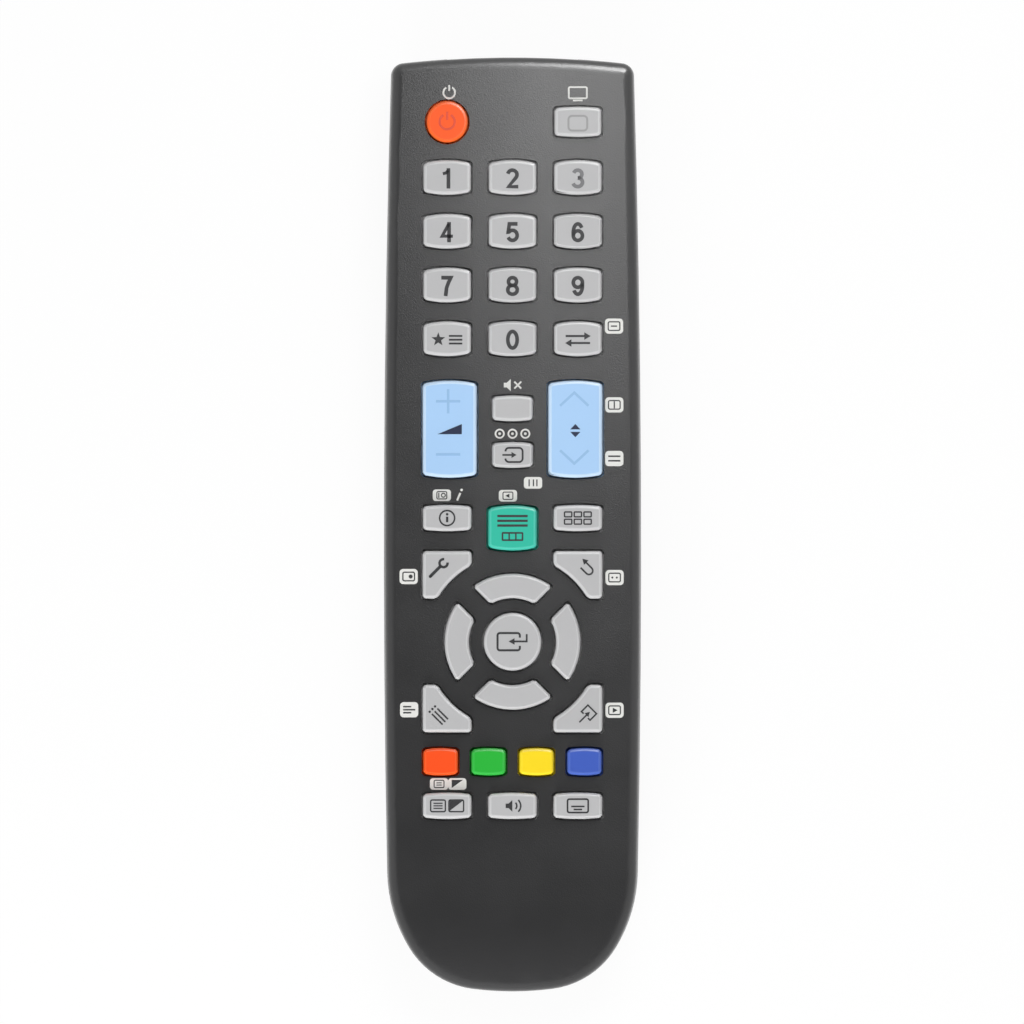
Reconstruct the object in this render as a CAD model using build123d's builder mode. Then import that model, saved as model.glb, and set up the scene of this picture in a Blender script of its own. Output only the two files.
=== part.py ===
from build123d import *
import math
import os

os.makedirs("parts", exist_ok=True)

# A television remote control lying on its back, in millimetres. +X is to the right, +Y towards
# the transmitting end and +Z out of the key face. The origin is the middle of its footprint.

# Outline, seen from above: a bowed head end, bowed sides and a tail of three tangent arcs
length = 185.0
half_width = 25.45
widest_y = -5.0
side_radius = 3140.0
head_radius = 199.0
head_corner = 2.6
flank_radius = 30.0
corner_radius = 17.2
corner_turn = 31.3
tail_radius = 62.0

# Case walls
wall = 1.8
face_wall = 1.8
edge_round = 2.4
front_draft = 0.45
seam_z = 10.5
tongue_depth = 1.2
fit = 0.1

# Face: arched along the case, crowned across it, and rolled down at the tail
face_arch = 2500.0
face_crown = 250.0
arch_y = -15.0
roll_length = 18.5
roll_radius = 60.0

# Rings of the rear case, from its flat underside to the seam. Each has its height, how far it
# lies inside the outline at the sides, head and tail, its head corners, and how far the wall's
# inner face stands above it and inside it, as shares of the wall.
hull_rings = (
    (0.0, 5.6, 24.0, 12.0, 9.0, 1.0, 0.45),
    (2.6, 2.5, 7.5, 4.6, 5.0, 0.6, 0.8),
    (6.5, 0.8, 1.2, 1.2, 3.4, 0.2, 0.98),
    (seam_z, 0.0, 0.0, 0.0, head_corner, 0.0, 1.0),
)

# Cells, their contacts and the bay
cell_diameter = 10.5
cell_length = 44.5
nipple_diameter = 3.8
nipple_height = 0.8
cell_shoulder = 0.5
cell_gap = 0.35
contact_thickness = 0.4
contact_half = 4.6
contact_gap = 0.05
tab_width = 2.4
spring_room = 5.0
spring_wire = 0.6
spring_turns = 3
spring_base = 3.4
spring_tip = 2.0
bay_tail_gap = 15.2
bay_wall = 1.5
bay_roof = 0.8
ridge_half = 1.0
ridge_drop = 1.2

# Battery door, which hooks on ledges beside the bay and slides off the tail
door_wall = 1.6
door_gap = 0.15
door_rim_z = 6.5
door_border = 1.3
hook_thickness = 0.8
hook_reach = 0.9
hook_length = 7.0
hook_count = 3
ledge_thickness = 0.7
shelf_thickness = 1.2
grip_count = 6
grip_pitch = 2.2
grip_width = 1.0
grip_depth = 0.4
grip_half = 8.0
grip_gap = 15.8
arrow_height = 5.0

# Board, mat and keys
board_thickness = 1.2
board_side_gap = 2.65
board_head_gap = 8.5
board_tail_reach = 8.0
board_gap = 0.3
board_post = 2.6
board_post_inset = 2.5
board_post_rows = (13.0, 78.0)
mat_thickness = 0.8
mat_border = 0.6
rib_width = 0.9
rib_length = 10.0
rib_pitch = 45.0
key_travel = 0.8
key_rest_gap = 0.05
flange_gap = 0.15
rocker_room = 0.65
key_gap = 0.35
flange_thickness = 0.6
flange_reach = 0.8
cap_proud = 1.4
cap_corner = 0.5
cap_edge = 0.4
cap_bow = 0.5
slim_bow = 0.25
post_width = 2.6
post_height = 0.6
rocker_post_reach = 6.8

# Sizes of the key caps, and how far their rows lie apart, from the head end to the tail
column = 12.9
head_margin = 13.0
power_diameter = 8.2
screen_width = 9.3
screen_height = 6.0
digit_width = 9.4
digit_height = 6.9
digit_drop = 11.0
row_pitch = 10.62
rocker_x = 12.4
rocker_drop = 17.84
rocker_width = 10.7
rocker_height = 19.2
slim_width = 8.0
slim_height = 5.1
mute_rise = 4.1
source_drop = 5.1
label_width = 9.6
label_height = 5.2
info_drop = 17.55
menu_drop = 1.95
menu_height = 8.9
ring_drop = 24.4
ok_diameter = 11.4
arrow_inner = 8.6
arrow_outer = 13.4
arrow_parting = 2.2
corner_x = 12.9
corner_y = 13.2
corner_width = 9.7
corner_height = 9.4
corner_hollow = 17.1
colour_pitch = 9.46
colour_width = 6.8
colour_height = 5.4
colour_drop = 23.7
text_drop = 8.7

# Screws and their seats
screw_diameter = 2.0
screw_head = 4.4
screw_head_height = 1.5
screw_length = 8.0
screw_gap = 0.3
boss_diameter = 5.2
boss_wall = 1.4
head_screw_gap = 14.0
head_seat_z = 5.6
tail_screw_gap = 7.5
tail_seat_z = 9.0
seat_thickness = 1.6

# Infrared window and diode
window_half = 13.0
window_low = 8.2
window_high = 14.6
window_recess = 0.6
window_depth = 1.8
window_lip = 1.0
led_diameter = 5.0
led_rim = 5.8
led_rim_length = 1.0
led_length = 8.6
led_x = 7.0
led_pitch = 2.54
led_reach = 2.2
lead_width = 0.5

# Parts under the board. Each has its place as how far it lies right of the middle, and behind
# the board's head edge.
chip_width = 7.6
chip_length = 13.0
chip_height = 2.0
chip_place = (-4.0, 50.0)
chip_legs = 5
leg_pitch = 2.3
leg_width = 0.8
leg_reach = 1.4
resonator_size = (7.0, 2.8, 4.6)
resonator_place = (-12.0, 32.0)
capacitor_diameter = 6.3
capacitor_height = 7.0
capacitor_place = (11.0, 38.0)
transistor_radius = 2.4
transistor_height = 4.8
transistor_place = (12.0, 20.0)
resistor_size = (1.6, 0.9, 0.5)
resistor_place = (3.0, 28.0)
resistor_pitch = 3.0

# Heights of the stack between the underside and the face
cell_z = door_wall + cell_gap + cell_diameter / 2
bay_roof_z = cell_z + cell_diameter / 2 + cell_gap
board_z = bay_roof_z + bay_roof
mat_z = board_z + board_thickness
post_z = mat_z + mat_thickness + key_travel + key_rest_gap
flange_z = post_z + post_height
cap_z = flange_z + flange_thickness

# Bay and door, from the cells outwards
cell_x = (cell_diameter + cell_gap) / 2
bay_half = cell_x + cell_diameter / 2 + cell_gap
bay_length = cell_length + spring_room + 2 * contact_thickness
bay_tail = bay_tail_gap - length / 2
bay_head = bay_tail + bay_length
tub_half = bay_half + bay_wall
hook_in = tub_half + door_gap
hook_out = hook_in + hook_reach + hook_thickness
door_half = hook_out + door_border
door_head = bay_head + bay_wall + door_border
door_tail = -length / 2 - wall
ledge_z = door_wall + door_gap
hook_z = ledge_z + ledge_thickness + door_gap
shelf_z = hook_z + hook_thickness + door_gap

# Rows of keys, from the head end to the tail
head_row = length / 2 - head_margin
rows = [head_row - digit_drop - n * row_pitch for n in range(4)]
rocker_y = rows[3] - rocker_drop
mute_y = rocker_y + mute_rise
source_y = rocker_y - source_drop
info_row = rocker_y - info_drop
menu_y = info_row - menu_drop
ring_y = info_row - ring_drop
colour_row = ring_y - colour_drop
text_row = colour_row - text_drop

# Board under the keys, and the diode at its head edge
board_half = half_width - wall - board_side_gap
board_head = length / 2 - board_head_gap
board_tail = text_row - board_tail_reach
led_z = board_z - led_rim / 2 - key_rest_gap
led_back = length / 2 - window_recess - window_depth - window_lip - led_length - board_gap

# The form, centre and size of every key's cap, with how far a bar's ends bow. An arrow has its
# direction instead.
caps = {
    "key_power": ("disc", -column, head_row, power_diameter),
    "key_screen": ("bar", column, head_row, screen_width, screen_height, slim_bow),
    "key_1": ("bar", -column, rows[0], digit_width, digit_height, cap_bow),
    "key_2": ("bar", 0.0, rows[0], digit_width, digit_height, cap_bow),
    "key_3": ("bar", column, rows[0], digit_width, digit_height, cap_bow),
    "key_4": ("bar", -column, rows[1], digit_width, digit_height, cap_bow),
    "key_5": ("bar", 0.0, rows[1], digit_width, digit_height, cap_bow),
    "key_6": ("bar", column, rows[1], digit_width, digit_height, cap_bow),
    "key_7": ("bar", -column, rows[2], digit_width, digit_height, cap_bow),
    "key_8": ("bar", 0.0, rows[2], digit_width, digit_height, cap_bow),
    "key_9": ("bar", column, rows[2], digit_width, digit_height, cap_bow),
    "key_favourite": ("bar", -column, rows[3], digit_width, digit_height, cap_bow),
    "key_0": ("bar", 0.0, rows[3], digit_width, digit_height, cap_bow),
    "key_previous": ("bar", column, rows[3], digit_width, digit_height, cap_bow),
    "rocker_volume": ("bar", -rocker_x, rocker_y, rocker_width, rocker_height, cap_bow),
    "rocker_channel": ("bar", rocker_x, rocker_y, rocker_width, rocker_height, cap_bow),
    "key_mute": ("bar", 0.0, mute_y, slim_width, slim_height, slim_bow),
    "key_source": ("bar", 0.0, source_y, slim_width, slim_height, slim_bow),
    "key_info": ("bar", -column, info_row, label_width, label_height, slim_bow),
    "key_menu": ("bar", 0.0, menu_y, label_width, menu_height, cap_bow),
    "key_guide": ("bar", column, info_row, label_width, label_height, slim_bow),
    "key_tools": ("corner", -corner_x, ring_y + corner_y, corner_width, corner_height),
    "key_return": ("corner", corner_x, ring_y + corner_y, corner_width, corner_height),
    "key_list": ("corner", -corner_x, ring_y - corner_y, corner_width, corner_height),
    "key_exit": ("corner", corner_x, ring_y - corner_y, corner_width, corner_height),
    "key_ok": ("disc", 0.0, ring_y, ok_diameter),
    "key_right": ("arrow", 0.0),
    "key_up": ("arrow", 90.0),
    "key_left": ("arrow", 180.0),
    "key_down": ("arrow", 270.0),
    "key_red": ("bar", -1.5 * colour_pitch, colour_row, colour_width, colour_height, slim_bow),
    "key_green": ("bar", -0.5 * colour_pitch, colour_row, colour_width, colour_height, slim_bow),
    "key_yellow": ("bar", 0.5 * colour_pitch, colour_row, colour_width, colour_height, slim_bow),
    "key_blue": ("bar", 1.5 * colour_pitch, colour_row, colour_width, colour_height, slim_bow),
    "key_text": ("bar", -column, text_row, label_width, label_height, slim_bow),
    "key_audio": ("bar", 0.0, text_row, label_width, label_height, slim_bow),
    "key_subtitle": ("bar", column, text_row, label_width, label_height, slim_bow),
}


def face_drop(x, y):
    """How far the face at (x, y) lies below its highest point."""
    return x**2 / (2 * face_crown) + (y - arch_y) ** 2 / (2 * face_arch)


# The face stands just high enough for the flange that comes nearest to it, at the head corner
flange_x = column + max(power_diameter, screen_width) / 2 + flange_reach
flange_y = head_row + power_diameter / 2 + flange_reach
face_z = cap_z + flange_gap + face_wall + face_drop(flange_x, flange_y)


def case_outline(side=0.0, head=0.0, tail=0.0, corner=head_corner):
    """The outline of the case, drawn in at its sides, head and tail. Its arcs meet tangent."""
    side_r, flank_r, corner_r, tail_r = (
        r - side for r in (side_radius, flank_radius, corner_radius, tail_radius)
    )
    half, top, bottom = half_width - side, length / 2 - head, tail - length / 2
    turn, join = -math.radians(corner_turn), 0.0
    for _ in range(30):
        across = half - side_r + (side_r - flank_r) * math.cos(join)
        across += (flank_r - corner_r) * math.cos(turn)
        last = -math.acos(across / (tail_r - corner_r))
        along = bottom + tail_r + (tail_r - corner_r) * math.sin(last) - widest_y
        join = math.asin((along - (flank_r - corner_r) * math.sin(turn)) / (side_r - flank_r))
    bend_x, side_reach, head_reach = half - corner, side_r - corner, head_radius - corner
    for _ in range(30):
        bend_y = top - head_radius + math.sqrt(head_reach**2 - bend_x**2)
        bend_x = half - side_r + math.sqrt(side_reach**2 - (bend_y - widest_y) ** 2)
    side_centre = Vector(half - side_r, widest_y)
    flank_centre = side_centre + Vector(math.cos(join), math.sin(join)) * (side_r - flank_r)
    tail_bend = flank_centre + Vector(math.cos(turn), math.sin(turn)) * (flank_r - corner_r)
    side_end = math.asin((bend_y - widest_y) / side_reach)
    head_start = math.acos(bend_x / head_reach)
    arcs = (
        ((0, bottom + tail_r), tail_r, -math.pi / 2, last),
        (tail_bend, corner_r, last, turn),
        (flank_centre, flank_r, turn, join),
        (side_centre, side_r, join, side_end),
        ((bend_x, bend_y), corner, side_end, head_start),
        ((0, top - head_radius), head_radius, head_start, math.pi / 2),
    )
    with BuildSketch() as outline:
        with BuildLine():
            for centre, radius, start, end in arcs:
                CenterArc(centre, radius, math.degrees(start), math.degrees(end - start))
            mirror(about=Plane.YZ)
        make_face()
    return outline.sketch


def inset_outline(inset):
    """The outline drawn in by the same amount all round."""
    return case_outline(inset, inset, inset, max(head_corner - inset, 0.3))


def hull(inset=0.0):
    """The rear half of the case as a solid, or the hollow left inside a wall."""
    with BuildPart() as body:
        for z, side, head, tail, corner, up, inward in hull_rings:
            step = inset * inward
            with BuildSketch(Plane.XY.offset(z + inset * up)):
                add(case_outline(side + step, head + step, tail + step, max(corner - step, 0.6)))
        loft()
    return body.part


def above_face(sunk=0.0):
    """Everything above the face, or above a surface sunk below it."""
    lean = math.asin((arch_y + length / 2 - roll_length) / face_arch)
    arch_centre = Vector(0, arch_y, face_z - face_arch)
    normal = Vector(0, -math.sin(lean), math.cos(lean))
    join = arch_centre + normal * (face_arch - sunk)
    roll_centre = arch_centre + normal * (face_arch - roll_radius)
    reach = half_width + wall + roll_length / 2
    sag = reach**2 / (2 * face_crown)
    with BuildPart() as sky:
        with BuildSketch(Plane(join, x_dir=(1, 0, 0), z_dir=(0, -normal.Z, normal.Y))) as profile:
            with BuildLine():
                crown = Bezier((-reach, -sag), (0, sag), (reach, -sag))
                Polyline(crown @ 1, (reach, face_z), (-reach, face_z), crown @ 0)
            make_face()
        to_head = math.degrees(lean + math.asin((length / 2 - arch_y + wall) / face_arch))
        revolve(profile.sketch, Axis(arch_centre, (-1, 0, 0)), revolution_arc=to_head)
        revolve(profile.sketch, Axis(roll_centre, (1, 0, 0)), revolution_arc=40)
    return sky.part


def dome(inset=0.0, sunk=0.0):
    """The front half of the case as a solid, or the hollow left inside its walls."""
    with BuildPart() as body:
        for z, draft in ((seam_z, 0.0), (face_z + 1, front_draft)):
            with BuildSketch(Plane.XY.offset(z)):
                add(inset_outline(inset + draft))
        loft(ruled=True)
        add(above_face(sunk), mode=Mode.SUBTRACT)
    return body.part


def cap_outline(name, grow=0.0, plain=False):
    """A key cap seen from above, grown by a gap, or the plainer outline of its flange."""
    form, *sizes = caps[name]
    with BuildSketch() as outline:
        if form == "disc":
            x, y, diameter = sizes
            with Locations((x, y)):
                if plain:
                    RegularPolygon(diameter / 2 + grow, 8, major_radius=False)
                else:
                    Circle(diameter / 2 + grow)
        elif form == "bar" and plain:
            x, y, width, height, bow = sizes
            with Locations((x, y)):
                Rectangle(width + 2 * grow, height + 2 * grow)
        elif form == "bar":
            x, y, width, height, bow = sizes
            side, tip = width / 2 + grow, height / 2 + grow
            inner, shoulder = side - cap_corner, tip - bow
            end = shoulder - cap_corner
            with BuildLine():
                shoulders = ((x - inner, y - shoulder), (x + inner, y - shoulder))
                low = ThreePointArc(shoulders[0], (x, y - tip), shoulders[1])
                shoulders = ((x + inner, y + shoulder), (x - inner, y + shoulder))
                high = ThreePointArc(shoulders[0], (x, y + tip), shoulders[1])
                Polyline(low @ 1, (x + side, y - end), (x + side, y + end), high @ 0)
                Polyline(high @ 1, (x - side, y + end), (x - side, y - end), low @ 0)
            make_face()
        elif form == "corner":
            x, y, width, height = sizes
            with Locations((x, y)):
                Rectangle(width + 2 * grow, height + 2 * grow)
            with Locations((0, ring_y)):
                Circle(corner_hollow - grow, mode=Mode.SUBTRACT)
        else:
            # A quarter of the ring, drawn backwards so that no circle's seam falls in it
            outer, tip = arrow_outer + grow, math.sqrt(2) * (grow - arrow_parting)
            with Locations(Location((0, ring_y), sizes[0] + 180)):
                Circle(outer)
                Circle(arrow_inner - grow, mode=Mode.SUBTRACT)
                wedge = ((tip, 0), (tip - outer, -outer), (tip - outer, outer))
                Polygon(*wedge, align=None, mode=Mode.INTERSECT)
        if form in ("corner", "arrow") and not plain:
            chamfer(outline.vertices(), length=cap_corner)
    return outline.sketch


def cap_centre(name):
    """The middle of a key."""
    form, *sizes = caps[name]
    if form == "arrow":
        reach, angle = (arrow_inner + arrow_outer) / 2, math.radians(sizes[0])
        return reach * math.cos(angle), ring_y + reach * math.sin(angle)
    if form == "corner":
        # An L-shaped key presses over its thick outer part
        x, y, width, height = sizes
        return x + math.copysign(width / 5, x), y + math.copysign(height / 5, y - ring_y)
    return sizes[0], sizes[1]


def posts(name):
    """Where a key presses the board: in one place, or at each end of a rocker."""
    x, y = cap_centre(name)
    if name.startswith("rocker"):
        return [(x, y - rocker_post_reach), (x, y + rocker_post_reach)]
    return [(x, y)]


def write(piece, name):
    """Label a finished piece and write it to its file."""
    piece.label = name
    export_step(piece, f"parts/{name}.step")


# Front case: the drafted shell with its rounded edge, a tongue that drops inside the rear case,
# two screw bosses, ribs that hold the mat down, and an opening for every key
head_screw_y = length / 2 - head_screw_gap
tail_screw_y = tail_screw_gap - length / 2
screws = ((0, head_screw_y, head_seat_z), (0, tail_screw_y, tail_seat_z))
mat_half = board_half - mat_border
with BuildPart() as front_inside:
    for x, y, z in screws:
        with BuildSketch(Plane.XY.offset(z)):
            with Locations((x, y)):
                Circle(boss_diameter / 2)
        extrude(amount=face_z - z)
    with BuildSketch(Plane.XY.offset(mat_z + mat_thickness)):
        with Locations((0, (board_head + board_tail) / 2)):
            with GridLocations(2 * mat_half - rib_width, rib_pitch, 2, 3):
                Rectangle(rib_width, rib_length)
    extrude(amount=face_z - mat_z - mat_thickness)
    add(above_face(face_wall / 2), mode=Mode.SUBTRACT)

with BuildPart() as front_case:
    add(dome())
    top = front_case.faces().filter_by(lambda face: face.normal_at().Z > 0.8)
    fillet(top.edges() - (top[0].edges() & top[1].edges()), radius=edge_round)
    add(dome(wall, face_wall), mode=Mode.SUBTRACT)
    with BuildSketch(Plane.XY.offset(seam_z - tongue_depth)):
        add(inset_outline(wall / 2 + fit))
        add(inset_outline(wall), mode=Mode.SUBTRACT)
    extrude(amount=tongue_depth)
    add(front_inside.part)
    for x, y, z in screws:
        with BuildSketch(Plane.XY.offset(z)):
            with Locations((x, y)):
                Circle((screw_diameter + fit) / 2)
        extrude(amount=screw_length - seat_thickness + fit, mode=Mode.SUBTRACT)
    with BuildSketch(Plane.XY.offset(flange_z)):
        for name in caps:
            add(cap_outline(name, key_gap))
    extrude(amount=face_z, mode=Mode.SUBTRACT)
    with Locations((0, length / 2, (window_low + window_high) / 2)):
        Box(2 * window_half, 4 * wall, window_high - window_low, mode=Mode.SUBTRACT)
write(front_case.part, "front_case")


# Rear case, beside the door: a shelf over its hooks, skirts along its edges, a plate over its tail
# that seats the tail screw, and the head screw's seat. The hull trims them to the shell.
low = (Align.CENTER, Align.MIN, Align.MIN)
upright = (Align.CENTER, Align.CENTER, Align.MIN)
door_edge = door_half + door_gap
skirt_edge = door_edge + shelf_thickness
sill = door_head + door_gap + shelf_thickness
tub_middle = (bay_head + bay_tail) / 2
tub_tail = bay_tail - bay_wall
seat_z = head_seat_z - seat_thickness
with BuildPart() as rear_inside:
    with Locations((0, tub_tail, shelf_z)):
        Box(2 * half_width, sill - tub_tail, shelf_thickness, align=low)
    with Locations((0, door_tail, 0)):
        Box(2 * skirt_edge, sill - door_tail, shelf_z, align=low)
    with Locations((0, door_tail, shelf_z)):
        Box(2 * skirt_edge, bay_tail - door_tail, tail_seat_z - shelf_z, align=low)
    with Locations((0, door_tail, 0)):
        Box(2 * door_edge, door_head + door_gap - door_tail, shelf_z, align=low, mode=Mode.SUBTRACT)
        Box(
            2 * door_edge,
            tub_tail - door_tail,
            tail_seat_z - seat_thickness,
            align=low,
            mode=Mode.SUBTRACT,
        )
    with BuildSketch():
        with Locations((0, head_screw_y)):
            Circle(screw_head / 2 + screw_gap + boss_wall)
    extrude(amount=head_seat_z)
    add(hull(wall / 2), mode=Mode.INTERSECT)

# The tub over the cells, with a ledge along each side for the hooks
with BuildPart() as tub:
    with Locations((0, tub_middle, ledge_z)):
        tub_length = bay_length + 2 * bay_wall
        Box(2 * tub_half, tub_length, seam_z - ledge_z, align=upright)
        Box(2 * (tub_half + hook_reach), tub_length, ledge_thickness, align=upright)
    add(hull(door_wall + door_gap), mode=Mode.INTERSECT)
    with BuildSketch(Plane.XY.offset(seam_z)):
        with Locations((0, tub_middle)):
            Rectangle(2 * tub_half, tub_length)
    extrude(amount=board_z - seam_z)
    with Locations((0, tub_middle, 0)):
        Box(2 * bay_half, bay_length, bay_roof_z, align=upright, mode=Mode.SUBTRACT)
    with Locations((0, tub_middle, bay_roof_z)):
        Box(
            2 * ridge_half,
            cell_length - spring_room,
            ridge_drop,
            align=(Align.CENTER, Align.CENTER, Align.MAX),
        )

# Where the contacts stand against the ends of the bay
head_plate = bay_head - contact_gap
tail_plate = bay_tail + contact_gap

# Rear case
with BuildPart() as rear_case:
    add(hull())
    add(hull(wall), mode=Mode.SUBTRACT)
    with Locations((0, door_tail, -wall)):
        Box(
            2 * door_edge,
            door_head + door_gap - door_tail,
            wall + door_rim_z + door_gap,
            align=low,
            mode=Mode.SUBTRACT,
        )
    with BuildSketch(Plane.XY.offset(seam_z)):
        add(inset_outline(wall / 2))
    extrude(amount=-tongue_depth - fit, mode=Mode.SUBTRACT)
    add(rear_inside.part)
    with Locations((0, tub_middle, 0)):
        Box(2 * bay_half, bay_length, seam_z, align=upright, mode=Mode.SUBTRACT)
    add(tub.part)
    post_x = board_half - board_post_inset
    with BuildSketch(Plane.XY.offset(wall / 2)):
        for y in (board_head - row for row in board_post_rows):
            with Locations((-post_x, y), (post_x, y)):
                Rectangle(board_post, board_post)
    extrude(amount=board_z - wall / 2)
    shank_room = screw_diameter / 2 + fit
    with Locations((0, head_screw_y, 0)):
        Cylinder(screw_head / 2 + screw_gap, seat_z, align=upright, mode=Mode.SUBTRACT)
        Cylinder(shank_room, head_seat_z, align=upright, mode=Mode.SUBTRACT)
    with Locations((0, tail_screw_y, 0)):
        Cylinder(shank_room, tail_seat_z, align=upright, mode=Mode.SUBTRACT)
    for x in (-cell_x, cell_x):
        with Locations((x, head_plate + fit, bay_roof_z)):
            Box(
                tab_width + 2 * fit,
                contact_thickness + 2 * fit,
                bay_roof,
                align=(Align.CENTER, Align.MAX, Align.MIN),
                mode=Mode.SUBTRACT,
            )
    with Locations((0, length / 2, (window_low + window_high) / 2)):
        Box(2 * window_half, 4 * wall, window_high - window_low, mode=Mode.SUBTRACT)
write(rear_case.part, "rear_case")

# Battery door: the tail half of the hull's floor with hooks along both sides, grip grooves and an
# arrow that shows which way it slides
hook_top = hook_z + hook_thickness
hook_spread = bay_length + 2 * bay_wall - hook_length
grip_y = door_head - grip_gap
with BuildPart() as battery_door:
    add(hull())
    add(hull(door_wall), mode=Mode.SUBTRACT)
    with Locations((0, door_tail, 0)):
        Box(2 * door_half, door_head - door_tail, door_rim_z, align=low, mode=Mode.INTERSECT)
    for n in range(hook_count):
        hook_y = bay_head - hook_length / 2 - n * (hook_spread - hook_length) / (hook_count - 1)
        with BuildSketch(Plane.XZ.offset(-hook_y)):
            with BuildLine():
                Polyline(
                    (hook_out, door_wall / 2),
                    (hook_out, hook_top),
                    (hook_in, hook_top),
                    (hook_in, hook_z),
                    (hook_out - hook_thickness, hook_z),
                    (hook_out - hook_thickness, door_wall / 2),
                    close=True,
                )
            make_face()
            mirror(about=Plane.YZ)
        extrude(amount=hook_length / 2, both=True)
    with BuildSketch():
        with Locations((0, grip_y)):
            with GridLocations(0, grip_pitch, 1, grip_count):
                Rectangle(2 * grip_half, grip_width)
        with Locations((0, grip_y - grip_count * grip_pitch)):
            slope = math.sqrt(2) * arrow_height
            Triangle(a=2 * arrow_height, b=slope, c=slope, rotation=180)
    extrude(amount=grip_depth, mode=Mode.SUBTRACT)
write(battery_door.part, "battery_door")

# Infrared window: a strip of the end wall, behind which it spreads into a lip
with BuildPart() as ir_window:
    with BuildSketch(Plane.XY.offset(window_low + fit)):
        add(inset_outline(window_recess))
        add(inset_outline(window_recess + window_depth), mode=Mode.SUBTRACT)
        with Locations((0, length / 2)):
            Rectangle(2 * (window_half - fit), 8 * wall, mode=Mode.INTERSECT)
    extrude(amount=window_high - window_low - 2 * fit)
    with BuildSketch(Plane.XY.offset(window_low + fit)):
        add(inset_outline(window_recess + window_depth))
        add(inset_outline(window_recess + window_depth + window_lip), mode=Mode.SUBTRACT)
        with Locations((0, length / 2)):
            Rectangle(2 * (window_half + window_lip), 8 * wall, mode=Mode.INTERSECT)
    extrude(amount=window_high - window_low + window_lip - fit)
write(ir_window.part, "ir_window")

# Infrared diode and its two legs, which turn up through the board
lead_xs = (led_x - led_pitch / 2, led_x + led_pitch / 2)
lead_y = led_back - led_reach
with BuildPart() as ir_led:
    with BuildSketch(Plane((led_x, led_back, led_z), z_dir=(0, 1, 0))):
        Circle(led_rim / 2)
    extrude(amount=led_rim_length)
    with BuildSketch(Plane((led_x, led_back, led_z), z_dir=(0, 1, 0))):
        Circle(led_diameter / 2)
    extrude(amount=led_length)
    chamfer(ir_led.edges().sort_by(Axis.Y)[-1], length=0.3 * led_diameter)
write(ir_led.part, "ir_led")

with BuildPart() as ir_led_leads:
    for x in lead_xs:
        with Locations((x, led_back, led_z)):
            Box(lead_width, led_reach, lead_width, align=(Align.CENTER, Align.MAX, Align.CENTER))
        with Locations((x, lead_y, led_z - lead_width / 2)):
            Box(lead_width, lead_width, mat_z - led_z + lead_width / 2, align=upright)
write(ir_led_leads.part, "ir_led_leads")

# Circuit board, clear of the case's walls, with holes for the head boss, the diode's legs and the
# contacts' tabs
board_middle = (board_head + board_tail) / 2
with BuildPart() as circuit_board:
    with BuildSketch(Plane.XY.offset(board_z)):
        add(inset_outline(wall + front_draft + board_gap))
        with Locations((0, board_middle)):
            Rectangle(2 * board_half, board_head - board_tail, mode=Mode.INTERSECT)
        with Locations((0, head_screw_y)):
            Circle(boss_diameter / 2 + board_gap, mode=Mode.SUBTRACT)
        for x in lead_xs:
            with Locations((x, lead_y)):
                Rectangle(lead_width + 2 * fit, lead_width + 2 * fit, mode=Mode.SUBTRACT)
        for x in (-cell_x, cell_x):
            with Locations((x, head_plate - contact_thickness / 2)):
                Rectangle(tab_width + 2 * fit, contact_thickness + 2 * fit, mode=Mode.SUBTRACT)
    extrude(amount=board_thickness)
write(circuit_board.part, "circuit_board")

# Keypad mat, with a hole for the head boss
with BuildPart() as keypad_mat:
    with BuildSketch(Plane.XY.offset(mat_z)):
        add(inset_outline(wall + front_draft + board_gap + mat_border))
        with Locations((0, board_middle)):
            mat_length = board_head - board_tail - 2 * mat_border
            Rectangle(2 * mat_half, mat_length, mode=Mode.INTERSECT)
        with Locations((0, head_screw_y)):
            Circle(boss_diameter / 2 + board_gap, mode=Mode.SUBTRACT)
    extrude(amount=mat_thickness)
write(keypad_mat.part, "keypad_mat")

# Parts soldered under the board
hung = (Align.CENTER, Align.CENTER, Align.MAX)


def board_spot(place, z=board_z):
    """A place on the board, given from the middle of its head edge."""
    right, behind = place
    return right, board_head - behind, z


with BuildPart() as controller_chip:
    with Locations(board_spot(chip_place, board_z - contact_gap)):
        Box(chip_width, chip_length, chip_height, align=hung)
    with Locations(board_spot(chip_place)):
        with GridLocations(chip_width, leg_pitch, 2, chip_legs):
            Box(2 * leg_reach, leg_width, chip_height / 2, align=hung)
write(controller_chip.part, "controller_chip")

with BuildPart() as resonator:
    with Locations(board_spot(resonator_place)):
        Box(*resonator_size, align=hung)
write(resonator.part, "resonator")

with BuildPart() as capacitor:
    with Locations(board_spot(capacitor_place)):
        Cylinder(capacitor_diameter / 2, capacitor_height, align=hung)
write(capacitor.part, "capacitor")

with BuildPart() as driver_transistor:
    with Locations(board_spot(transistor_place)):
        Cylinder(transistor_radius, transistor_height, align=hung)
        with Locations((0, -transistor_radius, 0)):
            flat = transistor_radius
            Box(2 * flat, flat, transistor_height, align=hung, mode=Mode.SUBTRACT)
write(driver_transistor.part, "driver_transistor")

with BuildPart() as chip_resistors:
    with Locations(board_spot(resistor_place)):
        with GridLocations(resistor_pitch, resistor_pitch, 2, 2):
            Box(*resistor_size, align=hung)
write(chip_resistors.part, "chip_resistors")


def cell(x, base, way):
    """A cell along Y from its flat end at base, with its raised end towards way."""
    with BuildPart() as body:
        with BuildSketch(Plane((x, base, cell_z), z_dir=(0, way, 0))):
            Circle(cell_diameter / 2)
        extrude(amount=cell_length - nipple_height)
        chamfer(body.edges().sort_by(Axis.Y)[-1 if way > 0 else 0], length=cell_shoulder)
        with BuildSketch(Plane((x, base, cell_z), z_dir=(0, way, 0))):
            Circle(nipple_diameter / 2)
        extrude(amount=cell_length)
    return body.part


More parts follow.
